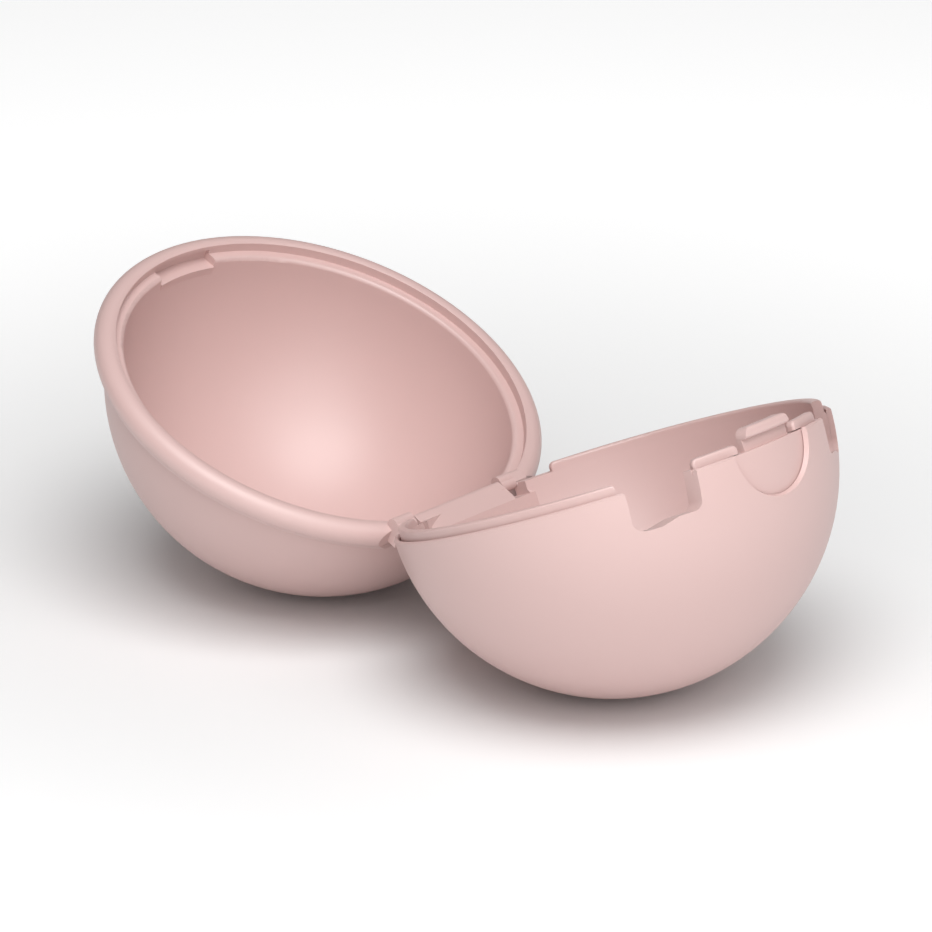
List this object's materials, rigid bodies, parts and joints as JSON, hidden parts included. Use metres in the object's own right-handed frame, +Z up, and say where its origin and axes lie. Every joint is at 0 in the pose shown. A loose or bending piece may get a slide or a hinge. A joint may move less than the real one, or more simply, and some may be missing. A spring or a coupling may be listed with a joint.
{
  "type": "pacifier sterilizer case",
  "caption": "Ball-shaped pacifier case of two double-walled half balls, hinged together and shown wide open, with a press-button snap latch and strap notches in the rim.",
  "frame": {"origin": "middle of the open case's footprint, on the surface that both half balls stand on", "axes": "+X from the lid to the base, +Y along the hinge pin, +Z up"},
  "size_m": [0.1498, 0.0852, 0.0585],
  "materials": {
    "base_shell": "dusty pink satin plastic, outside of the base",
    "base_liner": "dusty pink satin plastic, inside of the base",
    "latch_button": "dusty pink satin plastic",
    "lid_shell": "dusty pink satin plastic, outside of the lid",
    "lid_liner": "dusty pink satin plastic, inside of the lid",
    "hinge_pin": "drawn steel wire"
  },
  "bodies": {
    "base": {"base_shell": "base_shell", "base_liner": "base_liner"},
    "lid": {"lid_shell": "lid_shell", "lid_liner": "lid_liner", "hinge_pin": "hinge_pin"},
    "latch": {"latch_button": "latch_button"}
  },
  "joints": [
    {"name": "lid_hinge", "type": "hinge", "parent": "base", "child": "lid", "pos_m": [0.00009, 0, 0.02485], "axis": [0, 1, 0], "range_deg": [0, 133]},
    {"name": "latch_press", "type": "hinge", "parent": "base", "child": "latch", "pos_m": [0.07245, 0, 0.04623], "axis": [0, -1, 0], "range_deg": [0, 3], "stiffness_Nm_per_rad": 0.5}
  ]
}
